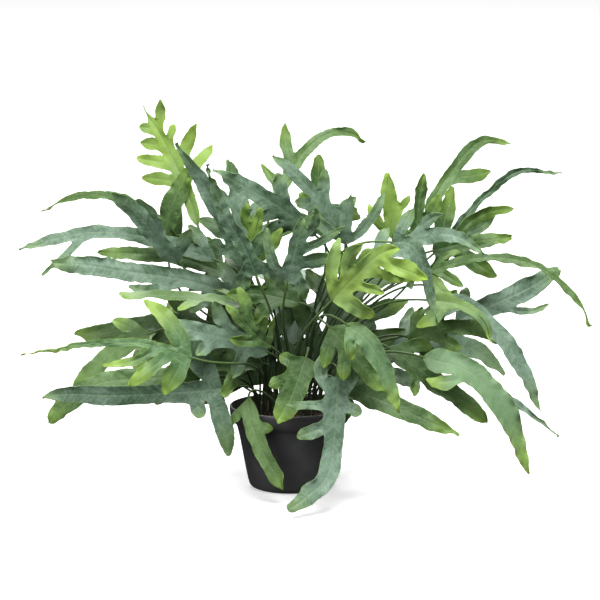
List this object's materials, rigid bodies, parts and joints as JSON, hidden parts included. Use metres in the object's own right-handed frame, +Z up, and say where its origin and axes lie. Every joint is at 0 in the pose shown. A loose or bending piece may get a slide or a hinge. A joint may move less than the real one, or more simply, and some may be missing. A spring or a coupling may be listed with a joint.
{
  "type": "potted blue star fern",
  "caption": "Fern with lobed blue-green and lime fronds on thin stems, rooted in soil in a black round nursery pot",
  "frame": {"origin": "centre of the pot's flat base, on the surface it stands on", "axes": "+Z up, +X along the fern's widest spread, -Y to the side that most fronds lean to"},
  "size_m": [0.6569, 0.4496, 0.4419],
  "materials": {
    "pot": "matte black",
    "soil": "moist dark brown potting mix",
    "rhizome": "scaly golden brown",
    "frond_blue": "waxy blue-green bloom",
    "frond_green": "satin mid green",
    "frond_lime": "satin young lime green"
  },
  "bodies": {
    "root": {"pot": "pot", "soil": "soil", "rhizome_1": "rhizome", "rhizome_2": "rhizome", "frond_01": "frond_blue", "frond_02": "frond_green", "frond_03": "frond_green", "frond_04": "frond_blue", "frond_05": "frond_green", "frond_06": "frond_lime", "frond_07": "frond_green", "frond_08": "frond_green", "frond_09": "frond_blue", "frond_10": "frond_green", "frond_11": "frond_green", "frond_12": "frond_blue", "frond_13": "frond_green", "frond_14": "frond_blue", "frond_15": "frond_blue", "frond_16": "frond_green", "frond_17": "frond_lime", "frond_18": "frond_green", "frond_19": "frond_blue", "frond_20": "frond_blue", "frond_21": "frond_blue", "frond_22": "frond_blue", "frond_23": "frond_green", "frond_24": "frond_blue", "frond_25": "frond_green", "frond_26": "frond_lime", "frond_27": "frond_blue", "frond_28": "frond_lime", "frond_29": "frond_blue", "frond_30": "frond_blue", "frond_31": "frond_lime", "frond_32": "frond_green", "frond_33": "frond_green", "frond_34": "frond_green", "frond_35": "frond_lime", "frond_36": "frond_blue", "frond_37": "frond_blue", "frond_38": "frond_lime", "frond_39": "frond_green", "frond_40": "frond_blue", "frond_41": "frond_green", "frond_42": "frond_green", "frond_43": "frond_blue", "frond_44": "frond_green", "frond_45": "frond_lime", "frond_46": "frond_green", "frond_47": "frond_blue", "frond_48": "frond_green", "frond_49": "frond_green", "frond_50": "frond_green", "frond_51": "frond_green", "frond_52": "frond_blue", "frond_53": "frond_green", "frond_54": "frond_blue", "frond_55": "frond_green", "frond_56": "frond_lime"}
  },
  "joints": []
}
